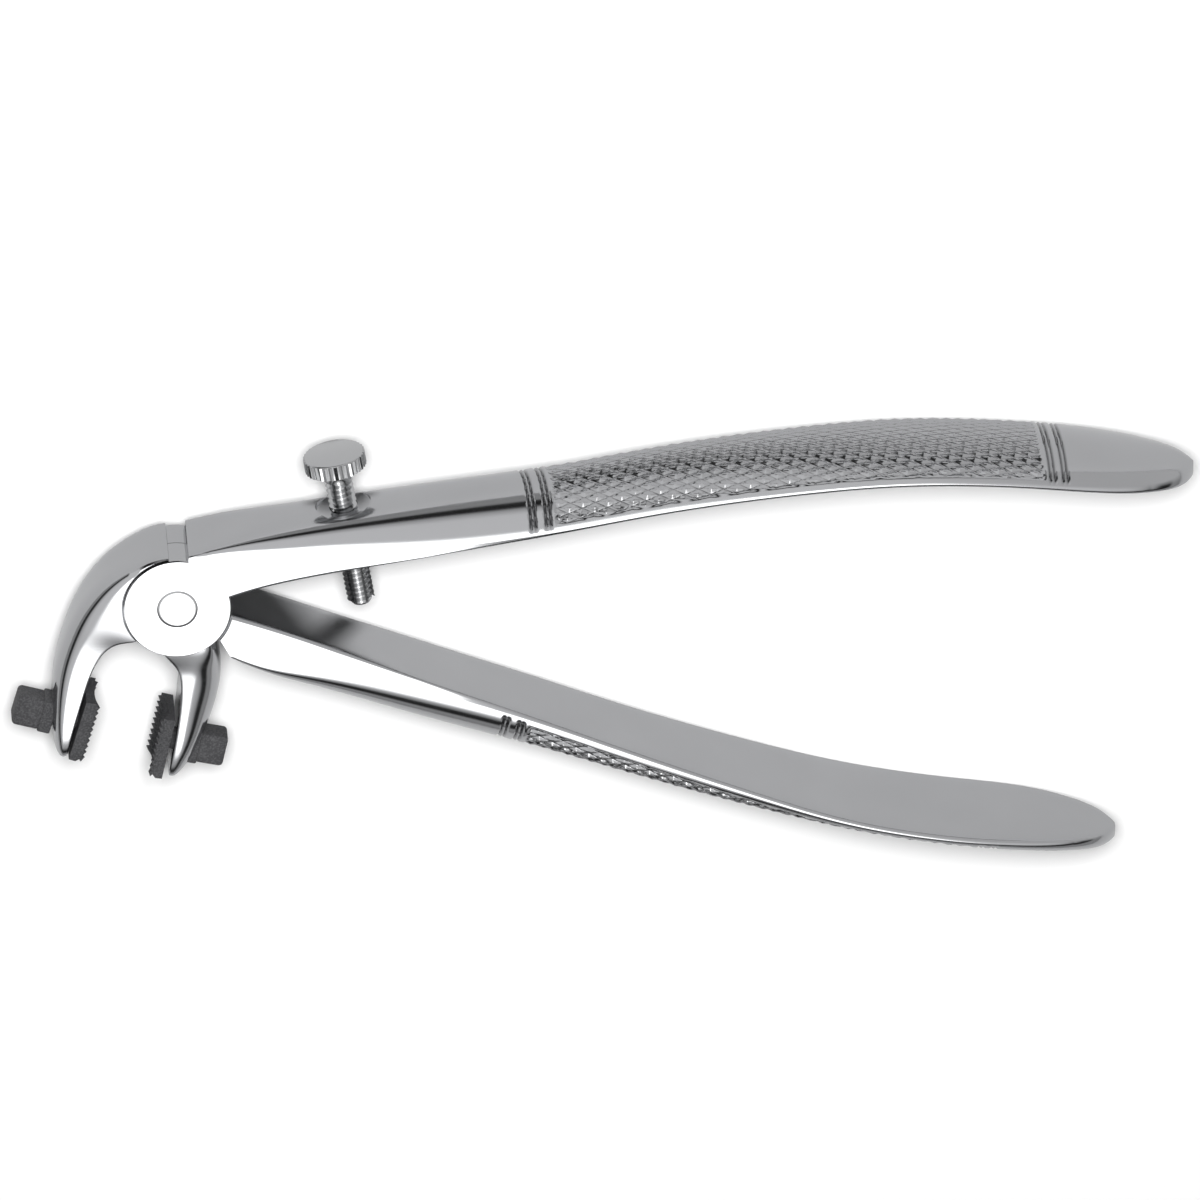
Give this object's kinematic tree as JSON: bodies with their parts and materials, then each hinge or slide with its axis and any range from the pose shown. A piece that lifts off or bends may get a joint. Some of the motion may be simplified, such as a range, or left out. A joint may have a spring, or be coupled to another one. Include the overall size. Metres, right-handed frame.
{
  "type": "crown-removing pliers",
  "caption": "Polished steel dental crown-removing pliers with knurled curved handles, a knurled stop screw and toothed black rubber pads on both jaws.",
  "frame": {"origin": "on the pivot axis, in the flat underside of the joint", "axes": "+X from the joint along the handles, +Y towards the upper handle's side, +Z along the pivot axis towards the upper lever's half disc"},
  "size_m": [0.1646, 0.0649, 0.0188],
  "materials": {
    "polished_steel": "polished, with coarse knurling on the backs of both handles",
    "bright_steel": "polished",
    "black_rubber": "matt, finely grained"
  },
  "bodies": {
    "lower_lever": {"lower_lever": "polished_steel", "joint_rivet": "bright_steel", "outer_pad": "black_rubber"},
    "upper_lever": {"upper_lever": "polished_steel", "inner_pad": "black_rubber"},
    "stop_screw": {"stop_screw": "bright_steel"}
  },
  "joints": [
    {"name": "main_hinge", "type": "hinge", "parent": "lower_lever", "child": "upper_lever", "pos_m": [0, 0, 0.0057], "axis": [0, 0, 1], "range_deg": [-11.3, 6]},
    {"name": "stop_screw_travel", "type": "slide", "parent": "upper_lever", "child": "stop_screw", "axis": [-0.1959, 0.9806, 0], "range_m": [0, 0.007]}
  ]
}
